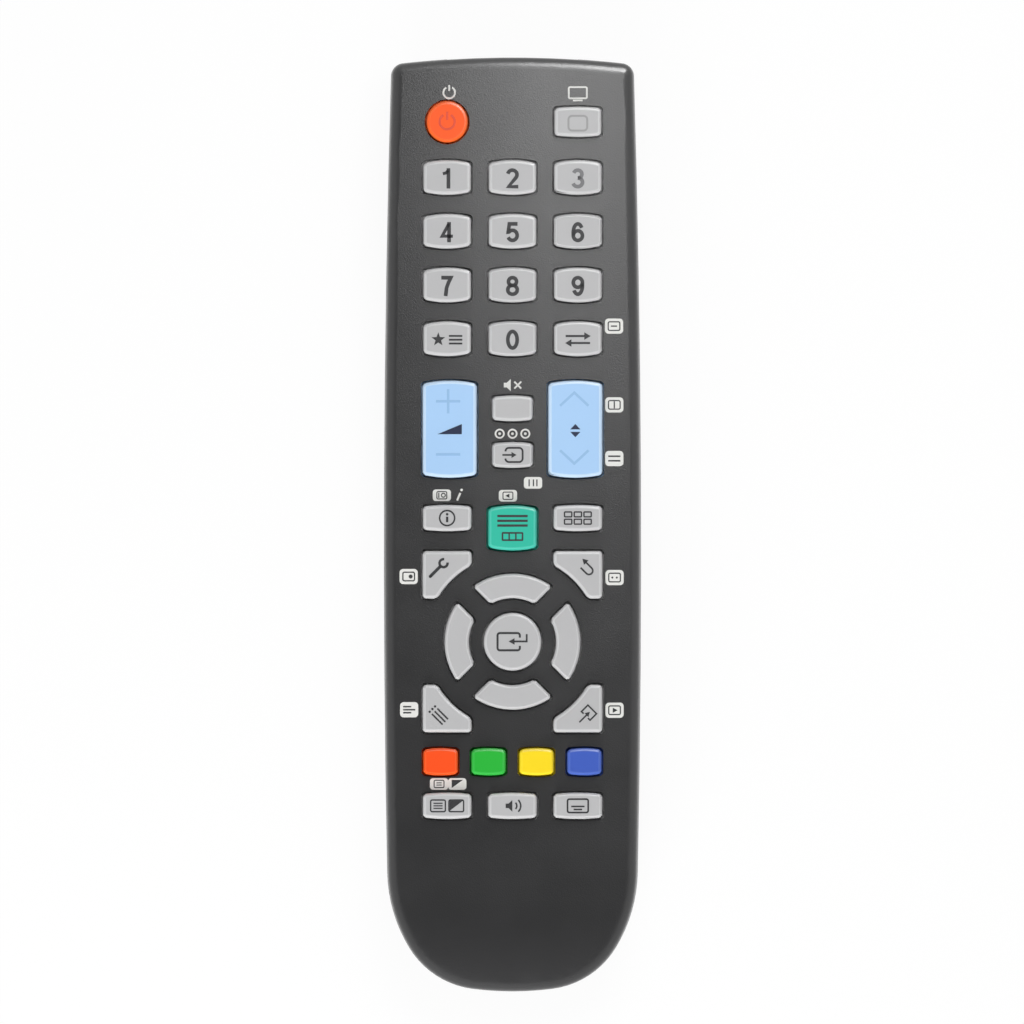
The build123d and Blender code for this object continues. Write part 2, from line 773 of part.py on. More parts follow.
def spring(x, seat, far):
    """A tapered coil along Y from its seat on a contact to the flat end of a cell."""
    way = math.copysign(contact_gap + spring_wire / 2, far - seat)
    start, rise = seat + way, far - seat - 2 * way
    taper, sweep_angle = spring_tip - spring_base, 2 * math.pi * spring_turns
    points, leads = [], []
    for n in range(2 * spring_turns + 1):
        share = n / (2 * spring_turns)
        across, up = math.cos(share * sweep_angle), math.sin(share * sweep_angle)
        radius = spring_base + taper * share
        points.append(Vector(x + radius * across, start + rise * share, cell_z + radius * up))
        lead = Vector(
            taper * across / sweep_angle - radius * up,
            rise / sweep_angle,
            taper * up / sweep_angle + radius * across,
        )
        leads.append(lead.normalized())
    least = min((p - q).length for p, q in zip(points, points[2:]))
    print(f"spring's least gap to itself: {least - spring_wire:.2f} mm")
    with BuildPart() as coil:
        with BuildLine() as path:
            for p, q, lead, trail in zip(points, points[1:], leads, leads[1:]):
                chord, lean = q - p, lead + trail
                spare = 2 * (1 - lead.dot(trail))
                root = math.sqrt(chord.dot(lean) ** 2 + spare * chord.dot(chord))
                reach = (root - chord.dot(lean)) / spare
                before, after = p + lead * reach, q - trail * reach
                middle = (before + after) * 0.5
                TangentArc(p, middle, tangent=lead)
                TangentArc(middle, q, tangent=after - before)
        with BuildSketch(Plane(points[0], z_dir=leads[0])):
            RegularPolygon(spring_wire / 2, 4)
        sweep(path=path.line)
    return coil.part


def contact(xs, seat, way, tab):
    """A contact plate against an end of the bay behind the cells at xs, with a tab or without."""
    across = (Align.CENTER, Align.MIN if way > 0 else Align.MAX, Align.CENTER)
    above = (*across[:2], Align.MIN)
    with BuildPart() as plate:
        with Locations((sum(xs) / len(xs), seat, cell_z)):
            width = max(xs) - min(xs) + 2 * contact_half
            Box(width, contact_thickness, 2 * contact_half, align=across)
            if tab:
                Box(tab_width, contact_thickness, mat_z - contact_gap - cell_z, align=above)
    return plate.part


# The left cell's raised end is towards the head, the right cell's towards the tail
head_reach = head_plate - contact_thickness - contact_gap
tail_reach = tail_plate + contact_thickness + contact_gap
write(contact([-cell_x], head_plate, -1, True), "contact_positive")
write(contact([cell_x], head_plate, -1, True), "contact_negative")
write(contact([-cell_x, cell_x], tail_plate, 1, False), "contact_link")
write(cell(-cell_x, head_reach - cell_length, 1), "battery_cell_left")
write(cell(cell_x, tail_reach + cell_length, -1), "battery_cell_right")
write(spring(-cell_x, tail_plate + contact_thickness, head_reach - cell_length), "spring_left")
write(spring(cell_x, head_plate - contact_thickness, tail_reach + cell_length), "spring_right")

# Case screws, each with its head against its seat
with BuildPart() as case_screws:
    for x, y, z in screws:
        with BuildSketch(Plane.XY.offset(z - seat_thickness)):
            with Locations((x, y)):
                Circle(screw_head / 2)
        extrude(amount=-screw_head_height)
        with BuildSketch(Plane.XY.offset(z - seat_thickness)):
            with Locations((x, y)):
                Circle(screw_diameter / 2)
        extrude(amount=screw_length)
write(case_screws.part, "case_screws")

# Keys: a cap whose top follows the face, a flange just under the face and a post over the mat
for name in caps:
    x, y = cap_centre(name)
    reach = cap_outline(name, flange_reach, plain=True).bounding_box()
    far_x = max(abs(reach.min.X), abs(reach.max.X))
    far_y = arch_y + max(abs(reach.min.Y - arch_y), abs(reach.max.Y - arch_y))
    room = rocker_room if name.startswith("rocker") else flange_gap
    flange_top = face_z - face_wall - face_drop(far_x, far_y) - room
    cap_top = Plane(
        (x, y, face_z - face_drop(x, y) + cap_proud),
        z_dir=(x / face_crown, (y - arch_y) / face_arch, 1),
    )
    with BuildPart() as key:
        with BuildSketch(Plane.XY.offset(flange_top)):
            add(cap_outline(name))
        extrude(amount=face_z + 2 * cap_proud - flange_top)
        split(bisect_by=cap_top, keep=Keep.BOTTOM)
        chamfer(key.faces().sort_by(Axis.Z)[-1].edges(), length=cap_edge)
        with BuildSketch(Plane.XY.offset(flange_top)):
            add(cap_outline(name, flange_reach, plain=True))
        extrude(amount=-flange_thickness)
        with BuildSketch(Plane.XY.offset(post_z)):
            with Locations(*posts(name)):
                Rectangle(post_width, post_width)
        extrude(amount=flange_top - flange_thickness - post_z)
    write(key.part, name)
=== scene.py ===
import math

import bmesh
import bpy
from mathutils import Matrix, Vector
from mathutils.bvhtree import BVHTree


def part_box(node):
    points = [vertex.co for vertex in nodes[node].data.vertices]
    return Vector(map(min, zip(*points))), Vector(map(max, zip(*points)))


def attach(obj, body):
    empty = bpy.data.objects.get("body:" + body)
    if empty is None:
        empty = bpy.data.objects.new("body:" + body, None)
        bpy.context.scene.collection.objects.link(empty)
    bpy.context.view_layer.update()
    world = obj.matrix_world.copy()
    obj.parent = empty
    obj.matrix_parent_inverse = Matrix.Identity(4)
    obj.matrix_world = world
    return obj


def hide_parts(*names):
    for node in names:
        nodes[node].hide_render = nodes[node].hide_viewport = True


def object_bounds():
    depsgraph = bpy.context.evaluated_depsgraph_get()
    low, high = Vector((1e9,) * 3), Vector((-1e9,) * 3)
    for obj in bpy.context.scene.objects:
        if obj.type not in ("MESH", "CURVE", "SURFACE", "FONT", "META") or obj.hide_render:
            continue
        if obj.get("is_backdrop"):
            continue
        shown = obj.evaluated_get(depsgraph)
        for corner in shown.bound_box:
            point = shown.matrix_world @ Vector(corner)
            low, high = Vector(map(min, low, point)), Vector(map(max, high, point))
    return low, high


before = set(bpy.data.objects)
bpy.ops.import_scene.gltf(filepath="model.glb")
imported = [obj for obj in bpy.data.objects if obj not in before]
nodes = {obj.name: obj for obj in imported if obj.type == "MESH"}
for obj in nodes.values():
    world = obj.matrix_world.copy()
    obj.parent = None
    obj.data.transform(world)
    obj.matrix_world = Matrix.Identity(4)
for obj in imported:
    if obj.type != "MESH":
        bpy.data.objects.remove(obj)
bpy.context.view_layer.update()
scene = bpy.context.scene
MM = 0.001

# The key face, in millimetres: highest at (0, arch_y), crowned across and arched along the case
face_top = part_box("front_case")[1].z / MM
face_crown, face_arch, arch_y = 250.0, 2500.0, -15.0

# Rows and columns of keys, in millimetres
column, rocker_x, corner_x = 12.9, 12.4, 14.2
head_row, digit_rows = 79.5, (68.5, 57.88, 47.26, 36.64)
rocker_y, source_y, info_row, menu_y = 18.8, 13.7, 1.25, -0.7
ring_y, corner_rise, text_row = -23.15, 14.5, -55.55


def face_height(x, y):
    """Height of the case's face over a point, in millimetres."""
    return face_top - x * x / (2 * face_crown) - (y - arch_y) ** 2 / (2 * face_arch)


# Finishes


def linear(colour):
    """The linear value of a colour written as 0 to 255."""
    return tuple(c / 255 / 12.92 if c < 10 else ((c / 255 + 0.055) / 1.055) ** 2.4 for c in colour)


def add_node(tree, kind, values=None, feeds=None, **settings):
    """A node in a tree: its settings, its inputs' own values, and the outputs that feed its inputs."""
    node = tree.nodes.new(kind)
    for name, value in settings.items():
        setattr(node, name, value)
    for socket, value in (values or {}).items():
        node.inputs[socket].default_value = value
    for socket, source in (feeds or {}).items():
        tree.links.new(source, node.inputs[socket])
    return node


def finish(name, colour, roughness=0.45, level=0.5, grain=0.0, grain_scale=2600, cloud=0.04,
           metallic=0.0, coat=0.0, coat_roughness=0.1):
    """A moulded or metal surface with a fine grain in its bump and a slow drift in its colour."""
    drift_scale, roughness_swing, least_roughness, grain_depth = 90, 0.05, 0.02, 0.03 * MM
    material = bpy.data.materials.new(name)
    material.use_nodes = True
    tree = material.node_tree
    shader = tree.nodes["Principled BSDF"]
    shader.inputs["Metallic"].default_value = metallic
    shader.inputs["Specular IOR Level"].default_value = level
    shader.inputs["Coat Weight"].default_value = coat
    shader.inputs["Coat Roughness"].default_value = coat_roughness
    place = add_node(tree, "ShaderNodeTexCoord")

    drift = add_node(tree, "ShaderNodeTexNoise", {"Scale": drift_scale, "Detail": 4},
                     {"Vector": place.outputs["Object"]})
    base = linear(colour)
    darker = [c * (1 - cloud) for c in base]
    paler = [min(1, c * (1 + cloud)) for c in base]
    tone = add_node(tree, "ShaderNodeMix", {"A": (*darker, 1), "B": (*paler, 1)},
                    {"Factor": drift.outputs["Fac"]}, data_type="RGBA")
    tree.links.new(tone.outputs["Result"], shader.inputs["Base Color"])

    wear = add_node(tree, "ShaderNodeMapRange", {
        "To Min": max(least_roughness, roughness - roughness_swing),
        "To Max": roughness + roughness_swing}, {"Value": drift.outputs["Fac"]})
    tree.links.new(wear.outputs["Result"], shader.inputs["Roughness"])

    if grain:
        spark = add_node(tree, "ShaderNodeTexNoise", {"Scale": grain_scale, "Detail": 2},
                         {"Vector": place.outputs["Object"]})
        bump = add_node(tree, "ShaderNodeBump", {"Strength": grain, "Distance": grain_depth},
                        {"Height": spark.outputs["Fac"]})
        tree.links.new(bump.outputs["Normal"], shader.inputs["Normal"])
    return material


def lighter(colour, share):
    """A colour moved a share of the way to white."""
    return tuple(c + (255 - c) * share for c in colour)


case_plastic = finish("graphite_case_plastic", (38, 38, 39), 0.35, 0.63,
                      grain=1.0, grain_scale=3800, cloud=0.08)
back_plastic = finish("graphite_back_plastic", (38, 38, 39), 0.42, 0.5,
                      grain=1.0, grain_scale=2200, cloud=0.08)
parting_shadow = finish("parting_line_shadow", (12, 12, 13), 0.7, 0.2)
key_colours = {
    "grey": (184, 184, 185), "orange": (252, 90, 18), "pale_blue": (168, 205, 243),
    "teal": (41, 186, 160), "red": (248, 78, 8), "green": (30, 178, 50), "yellow": (250, 218, 16),
    "blue": (58, 90, 186),
}
key_plastics = {c: finish(f"{c}_key_plastic", rgb, 0.55, 0.25, grain=0.2, cloud=0.025)
                for c, rgb in key_colours.items()}
# The keys' rounded rims are coloured lighter than the keys: a painted highlight where the rims would
# catch the light
plain_rim_highlight_share, rim_highlight_shares = 0.08, {"grey": 0.24, "pale_blue": 0.35, "teal": 0.16}
painted_rim_highlights = {c: finish(f"{c}_key_rim_painted_highlight", lighter(rgb, rim_highlight_shares.get(c, plain_rim_highlight_share)), 0.4, 0.4,
                      cloud=0.05) for c, rgb in key_colours.items()}
dark_ink = finish("dark_ink", (50, 50, 52), 0.55, 0.3, cloud=0.12)
faded_ink = finish("faded_dark_ink", (118, 118, 120), 0.55, 0.3, cloud=0.15)
navy_ink = finish("navy_ink", (26, 36, 66), 0.5, 0.3, cloud=0.1)
white_ink = finish("white_ink", (226, 226, 222), 0.6, 0.3, cloud=0.04)
moulded_grey = finish("mark_moulded_in_grey_key", (150, 150, 150), 0.5, 0.4, cloud=0.03)
moulded_blue = finish("mark_moulded_in_blue_key", (146, 186, 226), 0.5, 0.4, cloud=0.03)
moulded_orange = finish("mark_moulded_in_orange_key", (220, 66, 20), 0.5, 0.4, cloud=0.03)
silicone = finish("dark_silicone_mat", (70, 70, 72), 0.65, 0.4, grain=0.3)
solder_mask = finish("green_solder_mask", (38, 92, 56), 0.4, 0.5,
                     grain=0.2, grain_scale=900, cloud=0.15)
window_plastic = finish("dark_infrared_window", (26, 8, 12), 0.12, 0.5, coat=0.6, coat_roughness=0.04)
led_resin = finish("clear_diode_resin", (150, 160, 190), 0.12, 0.5, coat=0.5)
chip_plastic = finish("black_chip_plastic", (24, 24, 26), 0.6, 0.4, grain=0.4)
tinned = finish("tinned_steel", (190, 190, 192), 0.3, 0.5, grain=0.1, metallic=1.0, cloud=0.06)
nickel = finish("nickel_plated_steel", (205, 200, 190), 0.22, 0.5, grain=0.1, metallic=1.0, cloud=0.05)
jacket = finish("cell_jacket", (60, 66, 76), 0.3, 0.5, cloud=0.05, coat=0.4)

# Ways of making a piece


def in_scene(name, data):
    """A new object in the scene."""
    obj = bpy.data.objects.new(name, data)
    scene.collection.objects.link(obj)
    return obj


def piece(name, mesh, material, body, *replaced):
    """An object from a mesh that rides on a body and stands for CAD nodes, if any are named.

    With no material given, the mesh keeps its own.
    """
    mesh.name = name
    obj = in_scene(name, mesh)
    if material:
        mesh.materials.clear()
        mesh.materials.append(material)
    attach(obj, body)
    if replaced:
        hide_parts(*replaced)
    return obj


def as_modified(obj):
    """The mesh that an object's modifiers make."""
    return bpy.data.meshes.new_from_object(obj.evaluated_get(bpy.context.evaluated_depsgraph_get()))


def merged(node, flat=0.0):
    """A copy of a CAD node's mesh with its triangles joined.

    Faces that lie within the flat angle of one another, in degrees, become one face.
    """
    join_distance = 2e-6
    mesh = nodes[node].data.copy()
    work = bmesh.new()
    work.from_mesh(mesh)
    bmesh.ops.remove_doubles(work, verts=work.verts, dist=join_distance)
    if flat:
        bmesh.ops.dissolve_limit(work, angle_limit=math.radians(flat), verts=work.verts,
                                 edges=work.edges)
    for face in work.faces:
        face.smooth = True
    work.to_mesh(mesh)
    work.free()
    if "custom_normal" in mesh.attributes:
        mesh.attributes.remove(mesh.attributes["custom_normal"])
    return mesh


def rounded(node, width, material, body, angle=25, rim=None):
    """A CAD node with its edges rounded, and the rounded rims in their own finish; on the keys that
    finish is a lighter colour, a painted highlight.
    """
    nearly_flat, segments, rim_highlight_slot = 0.8, 3, 1
    blank = merged(node, nearly_flat)
    blank.materials.clear()
    blank.materials.append(material)
    blank.materials.append(rim or material)
    obj = in_scene(node + "_blank", blank)
    edge = obj.modifiers.new("edge", "BEVEL")
    edge.width = width * MM
    edge.segments = segments
    edge.limit_method = "ANGLE"
    edge.angle_limit = math.radians(angle)
    edge.harden_normals = True
    # The rounded faces take the rim finish, which on the keys is the painted highlight
    edge.material = rim_highlight_slot
    mesh = as_modified(obj)
    bpy.data.objects.remove(obj)
    return piece(node + "_finished", mesh, None, body, node)


crease = 30


def sharp_edged(node, material, body, angle=crease):
    """A CAD node shaded smooth up to its edges."""
    mesh = merged(node)
    mesh.set_sharp_from_angle(angle=math.radians(angle))
    return piece(node + "_finished", mesh, material, body, node)


def thickened(work):
    """Adds a second layer to a flat mesh, with walls between, and gives the second layer's points."""
    flat_faces = work.faces[:]
    outline = [edge for edge in work.edges if edge.is_boundary]
    upper = {point: work.verts.new(point.co) for point in work.verts[:]}
    for face in flat_faces:
        work.faces.new([upper[point] for point in face.verts], face)
    for edge in outline:
        one, other = edge.verts
        work.faces.new((one, other, upper[other], upper[one]), edge.link_faces[0])
    return set(upper.values())


# The case
# Where the front's mesh lies on the key face, its normals are the face's own
shell_crease, looks_up, on_face = 32, 0.75, 0.03
front = merged("front_case")
front.set_sharp_from_angle(angle=math.radians(shell_crease))
normals = [Vector(corner.vector) for corner in front.corner_normals]
for polygon in front.polygons:
    for loop in polygon.loop_indices:
        x, y, z = front.vertices[front.loops[loop].vertex_index].co / MM
        if polygon.normal.z > looks_up and abs(z - face_height(x, y)) < on_face:
            normals[loop] = Vector((x / face_crown, (y - arch_y) / face_arch, 1)).normalized()
front.normals_split_custom_set(normals)
piece("front_case_finished", front, case_plastic, "case", "front_case")
sharp_edged("rear_case", back_plastic, "case", shell_crease)


def outer_wall(face, point):
    """Whether a face of the shell is a side wall that faces away from the case's middle at a point."""
    upright = 0.5
    return abs(face.normal.z) < upright and face.normal.xy.dot(point.co.xy) > 0


def outer_rim(shell, height):
    """The edges where a shell's underside, at a height, meets its outer side walls."""
    close_by, looks_down = 0.02 * MM, -0.9
    return [edge for edge in shell.edges
            if edge.is_convex and all(abs(point.co.z - height) < close_by for point in edge.verts)
            and any(face.normal.z < looks_down for face in edge.link_faces)
            and any(outer_wall(face, edge.verts[0]) for face in edge.link_faces)]


def parting_line_shade(shell_mesh, height, half_width, depth, proud):
    """A thin band let into the outer walls at the height where the two shells meet; in its near-black
    finish it is painted shade in place of a groove's shadow.
    """
    shell = bmesh.new()
    shell.from_mesh(shell_mesh)
    rim = outer_rim(shell, height)
    profile = ((-depth, -half_width), (proud, -half_width), (proud, half_width), (-depth, half_width))
    band = bmesh.new()
    sections = {}
    for point in dict.fromkeys(point for edge in rim for point in edge.verts):
        walls = [face.normal.xy for face in point.link_faces if outer_wall(face, point)]
        out = sum(walls, Vector((0, 0))).normalized()
        sections[point] = [
            band.verts.new((point.co.x + out.x * reach, point.co.y + out.y * reach, height + rise))
            for reach, rise in profile]
    for edge in rim:
        here, there = (sections[point] for point in edge.verts)
        for n in range(4):
            band.faces.new((here[n], there[n], there[(n + 1) % 4], here[(n + 1) % 4]))
    for point, section in sections.items():
        if sum(point in edge.verts for edge in rim) == 1:
            band.faces.new(section)
    bmesh.ops.recalc_face_normals(band, faces=band.faces)
    line = bpy.data.meshes.new("parting_line_shade")
    band.to_mesh(line)
    band.free()
    shell.free()
    return line


# The shells meet flush here: the dark band is painted shade standing for the shadow in a parting groove
seam_height = 10.5 * MM
seam = parting_line_shade(front, seam_height, half_width=0.09 * MM, depth=0.1 * MM, proud=0.015 * MM)
piece("parting_line_shade", seam, parting_shadow, "case")
sharp_edged("battery_door", back_plastic, "battery_door", shell_crease)
window_edge, key_edge = 0.25, 0.28
rounded("ir_window", window_edge, window_plastic, "case", angle=40)

# The keys
coloured = {
    "key_power": "orange", "rocker_volume": "pale_blue", "rocker_channel": "pale_blue",
    "key_menu": "teal", "key_red": "red", "key_green": "green", "key_yellow": "yellow",
    "key_blue": "blue",
}
keys = {}
for key in sorted(n for n in nodes if n.startswith(("key_", "rocker_"))):
    colour = coloured.get(key, "grey")
    # Each key's rounded rim takes its painted highlight finish
    keys[key] = rounded(key, key_edge, key_plastics[colour], key, rim=painted_rim_highlights[colour])

# Flat shapes for the prints
# Each is a list of faces, and each face a list of points, in millimetres about the print's middle


def arc(cx, cy, rx, ry, start, end, steps):
    """Points along an arc of an ellipse, angles in degrees."""
    turns = [math.radians(start + (end - start) * n / steps) for n in range(steps + 1)]
    return [(cx + rx * math.cos(a), cy + ry * math.sin(a)) for a in turns]


def stroke(points, width, closed=False):
    """A line of even width with mitred bends, which are cut short where they are sharp."""
    least_lean = 0.25
    ends = []
    count = len(points)
    for n, point in enumerate(points):
        here = Vector(point)
        before = Vector(points[n - 1]) if n or closed else None
        after = Vector(points[(n + 1) % count]) if n < count - 1 or closed else None
        sides = [(b - a).normalized() for a, b in ((before, here), (here, after)) if a and b]
        across = [Vector((-d.y, d.x)) for d in sides]
        lean = sum(across, Vector((0, 0))) / len(across)
        reach = lean * (width / 2 / max(lean.length_squared, least_lean))
        ends.append((here + reach, here - reach))
    pairs = list(zip(ends, ends[1:] + ends[:1])) if closed else list(zip(ends, ends[1:]))
    return [[a[0], a[1], b[1], b[0]] for a, b in pairs]


def bars(left, right, heights, width):
    """Level lines, one under another."""
    return [face for y in heights for face in stroke([(left, y), (right, y)], width)]


def posts(bottom, top, places, width):
    """Upright lines, side by side."""
    return [face for x in places for face in stroke([(x, bottom), (x, top)], width)]


def solid(points):
    """A filled outline."""
    return [list(points)]


def ring(cx, cy, rx, ry, width, steps=28):
    """A closed line round an ellipse."""
    return stroke(arc(cx, cy, rx, ry, 0, 360, steps)[:-1], width, closed=True)


def disc(cx, cy, radius):
    """A filled circle."""
    sides = 20
    return solid(arc(cx, cy, radius, radius, 0, 360, sides)[:-1])


def frame_line(cx, cy, width, height, corner, line):
    """A rectangular line with rounded corners."""
    corner_steps = 4
    x, y = width / 2 - corner, height / 2 - corner
    points = []
    for sx, sy, first in ((1, 1, 0), (-1, 1, 90), (-1, -1, 180), (1, -1, 270)):
        points += arc(cx + sx * x, cy + sy * y, corner, corner, first, first + 90, corner_steps)
    return stroke(points, line, closed=True)


def turned(faces, angle, dx=0.0, dy=0.0, size=1.0):
    """Faces turned about the middle, scaled and moved."""
    c, s = math.cos(math.radians(angle)) * size, math.sin(math.radians(angle)) * size
    return [[(dx + c * x - s * y, dy + s * x + c * y) for x, y in face] for face in faces]


def sized(faces, size):
    """Faces scaled about the middle."""
    return turned(faces, 0, size=size)


# Digits
bold = 0.74
six = (ring(0, -0.68, 0.9, 0.95, bold)
       + stroke(arc(0, 0, 0.9, 1.63, 32, 180, 12) + [(-0.9, -0.68)], bold))
digits = {
    "0": ring(0, 0, 0.92, 1.63, bold, 32),
    "1": (stroke([(0.25, -2.0), (0.25, 2.0)], bold)
          + stroke([(-0.85, 0.92), (-0.2, 1.1), (0.2, 1.62)], 0.6)),
    "2": stroke(arc(-0.02, 0.72, 0.92, 0.91, 168, -42, 12) + [(-0.78, -1.63), (1.15, -1.63)], bold),
    "3": (stroke(arc(-0.02, 0.84, 0.83, 0.79, 162, -88, 12), bold)
          + stroke(arc(-0.02, -0.76, 0.95, 0.87, 88, -164, 12), bold)),
    "4": (stroke([(0.38, -2.0), (0.38, 2.0)], bold)
          + stroke([(0.3, 1.6), (-0.98, -0.78), (1.12, -0.78)], 0.62)),
    "5": stroke([(1.0, 1.63), (-0.62, 1.63), (-0.84, 0.02)]
                + arc(0, -0.63, 0.93, 1.0, 138, -158, 14), bold),
    "6": six,
    "7": stroke([(-1.15, 1.63), (0.72, 1.63), (0.28, 0.7), (-0.12, -0.4), (-0.3, -2.0)], bold),
    "8": ring(0, 0.86, 0.8, 0.77, bold) + ring(0, -0.76, 0.94, 0.88, bold),
    "9": turned(six, 180),
}

# Pictograms
fine = 0.36
three_lines = (0.75, 0.0, -0.75)
standby = stroke(arc(0, 0, 1, 1, 120, 420, 20), 0.3) + stroke([(0, 0.25), (0, 1.3)], 0.3)
speaker = solid([(-1.5, -0.4), (-1.0, -0.4), (-0.3, -1.05), (-0.3, 1.05), (-1.0, 0.4), (-1.5, 0.4)])
waves = (stroke(arc(-0.3, 0, 0.8, 0.8, -45, 45, 6), 0.3)
         + stroke(arc(-0.3, 0, 1.5, 1.5, -45, 45, 8), 0.3))
muted = speaker + stroke([(0.3, -0.6), (1.5, 0.6)], 0.3) + stroke([(0.3, 0.6), (1.5, -0.6)], 0.3)
star = solid([(radius * math.cos(math.radians(angle)), radius * math.sin(math.radians(angle)))
              for angle, radius in zip(range(90, 450, 36), (1.55, 0.64) * 5)])
starred_list = turned(star, 0, -1.75, 0.05, 0.92) + bars(0.35, 3.0, three_lines, fine)
swap_arrows = (stroke([(-2.1, 0.55), (1.2, 0.55)], fine) + solid([(1.1, 1.2), (2.2, 0.55), (1.1, -0.1)])
               + stroke([(2.1, -0.65), (-1.2, -0.65)], fine)
               + solid([(-1.1, 0.0), (-2.2, -0.65), (-1.1, -1.3)]))
info_mark = ring(0, 0, 1.35, 1.35, 0.3) + stroke([(0, -0.75), (0, 0.25)], 0.42) + disc(0, 0.68, 0.24)
guide_mark = [face for cx in (-1.6, 0, 1.6) for cy in (-0.6, 0.6)
              for face in frame_line(cx, cy, 1.2, 0.8, 0.12, 0.24)]
menu_bars = bars(-2.4, 2.4, three_lines, fine)
menu_boxes = frame_line(0, 0, 3.6, 1.3, 0.1, 0.3) + posts(-0.6, 0.6, (-0.6, 0.6), 0.26)
wrench = (stroke([(-2.3, 0), (0.7, 0)], 0.62) + stroke(arc(1.4, 0, 0.8, 0.8, 35, 325, 16), 0.5)
          + disc(-2.3, 0, 0.31))
return_arrow = (stroke([(-1.3, 0.75), (0.7, 0.75)] + arc(0.7, 0, 0.75, 0.75, 90, -90, 8)[1:]
                       + [(-0.9, -0.75)], fine)
                + solid([(-0.8, 1.4), (-1.9, 0.75), (-0.8, 0.1)]))
list_mark = [face for y in three_lines
             for face in disc(-1.7, y, 0.24) + stroke([(-1.1, y), (1.9, y)], 0.32)]
exit_mark = (stroke([(-0.2, 0.6), (-0.2, 1.2), (1.6, 1.2), (1.6, -1.2), (-0.2, -1.2), (-0.2, -0.6)],
                    0.32)
             + stroke([(-2.0, 0), (0.0, 0)], 0.32) + solid([(0.0, 0.55), (0.95, 0), (0.0, -0.55)]))
page_frame = frame_line(0, 0, 2.9, 2.3, 0.3, 0.28)
page_mark = page_frame + bars(-0.9, 0.9, (0.5, 0.0, -0.5), 0.24)
mix_mark = page_frame + solid([(-1.3, -1.0), (1.3, 1.0), (-1.3, 1.0)])
caption_mark = (frame_line(0, 0, 3.4, 2.2, 0.3, 0.28) + stroke([(-1.1, -0.1), (1.1, -0.1)], 0.26)
                + stroke([(-0.7, -0.6), (0.7, -0.6)], 0.26))
source_mark = (stroke(arc(-0.7, 0.7, 0.7, 0.7, 180, 90, 5) + arc(1.3, 0.7, 0.7, 0.7, 90, 0, 5)
                      + arc(1.3, -0.7, 0.7, 0.7, 0, -90, 5)
                      + arc(-0.7, -0.7, 0.7, 0.7, 270, 180, 5), 0.38)
               + stroke([(-2.0, 0), (-0.1, 0)], 0.34) + solid([(-0.2, 0.6), (0.8, 0), (-0.2, -0.6)]))
enter_mark = (stroke([(1.45, 0.8)] + arc(1.0, 1.25, 0.45, 0.45, 0, 90, 4)
                     + arc(-2.5, 1.25, 0.45, 0.45, 90, 180, 4)
                     + arc(-2.5, -1.25, 0.45, 0.45, 180, 270, 4)
                     + arc(1.0, -1.25, 0.45, 0.45, 270, 360, 4) + [(1.45, -0.8)], 0.42)
              + stroke([(2.8, 1.5), (2.8, 0.05), (0.2, 0.05)], fine)
              + solid([(0.4, 0.7), (-0.75, 0.05), (0.4, -0.6)]))
screen_mark = frame_line(0, 0, 3.7, 2.9, 0.7, 0.4)
wedge = solid([(-2.4, -1.0), (2.4, -1.0), (2.4, 1.0)])
minus = stroke([(-2.4, 0), (2.4, 0)], 0.5)
plus = minus + stroke([(0, -2.4), (0, -0.25)], 0.5) + stroke([(0, 0.25), (0, 2.4)], 0.5)
chevron = stroke([(-2.8, -1.3), (0, 1.3), (2.8, -1.3)], 0.5)
up_down = solid([(-1.0, 0.25), (1.0, 0.25), (0, 1.3)]) + solid([(-1.0, -0.25), (0, -1.3), (1.0, -0.25)])
sockets = [face for x in (-2.3, 0, 2.3) for face in ring(x, 0, 0.75, 0.75, 0.3) + disc(x, 0, 0.25)]
monitor = frame_line(0, 0.25, 3.4, 2.1, 0.25, 0.32) + stroke([(-0.9, -1.2), (0.9, -1.2)], 0.32)
slanted_mark = stroke([(-0.35, -1.0), (0.3, 0.5)], 0.4) + disc(0.55, 1.1, 0.26)

# Prints: thin films on the keys and the face. Film heights are in millimetres over what carries them
film_top, badge_sign_top, film_foot = 0.025, 0.045, -0.01


def skin_of(obj):
    """What a ray from above meets first on a piece."""
    mesh = obj.data
    return BVHTree.FromPolygons([v.co for v in mesh.vertices], [p.vertices[:] for p in mesh.polygons])


def laid(mesh, skin, top=film_top):
    """Gives a flat mesh a film's thickness and lays it on a surface below."""
    join_distance, far_above = 1e-6, 0.1
    work = bmesh.new()
    work.from_mesh(mesh)
    bmesh.ops.remove_doubles(work, verts=work.verts, dist=join_distance)
    upper = thickened(work)
    for vertex in work.verts:
        spot = skin.ray_cast(Vector((vertex.co.x, vertex.co.y, far_above)), Vector((0, 0, -1)))[0]
        if spot is None:
            raise ValueError(f"{mesh.name} has nothing under it at {vertex.co}")
        vertex.co.z = spot.z + (top if vertex in upper else film_foot) * MM
    bmesh.ops.recalc_face_normals(work, faces=work.faces)
    work.to_mesh(mesh)
    work.free()
    return mesh


def printed(name, marks, ink, body, skin, top=film_top):
    """Marks in one ink on one piece. Each mark is its faces and its middle in millimetres."""
    points, faces = [], []
    for shape, x, y in marks:
        for face in shape:
            faces.append(list(range(len(points), len(points) + len(face))))
            points += [((x + px) * MM, (y + py) * MM, 0) for px, py in face]
    mesh = bpy.data.meshes.new(name)
    mesh.from_pydata(points, [], faces)
    return piece(name, laid(mesh, skin, top), ink, body)


def on_key(key, ink, *marks, suffix="mark"):
    """Marks on a key."""
    return printed(f"{key}_{suffix}", marks, ink, key, skin_of(keys[key]))


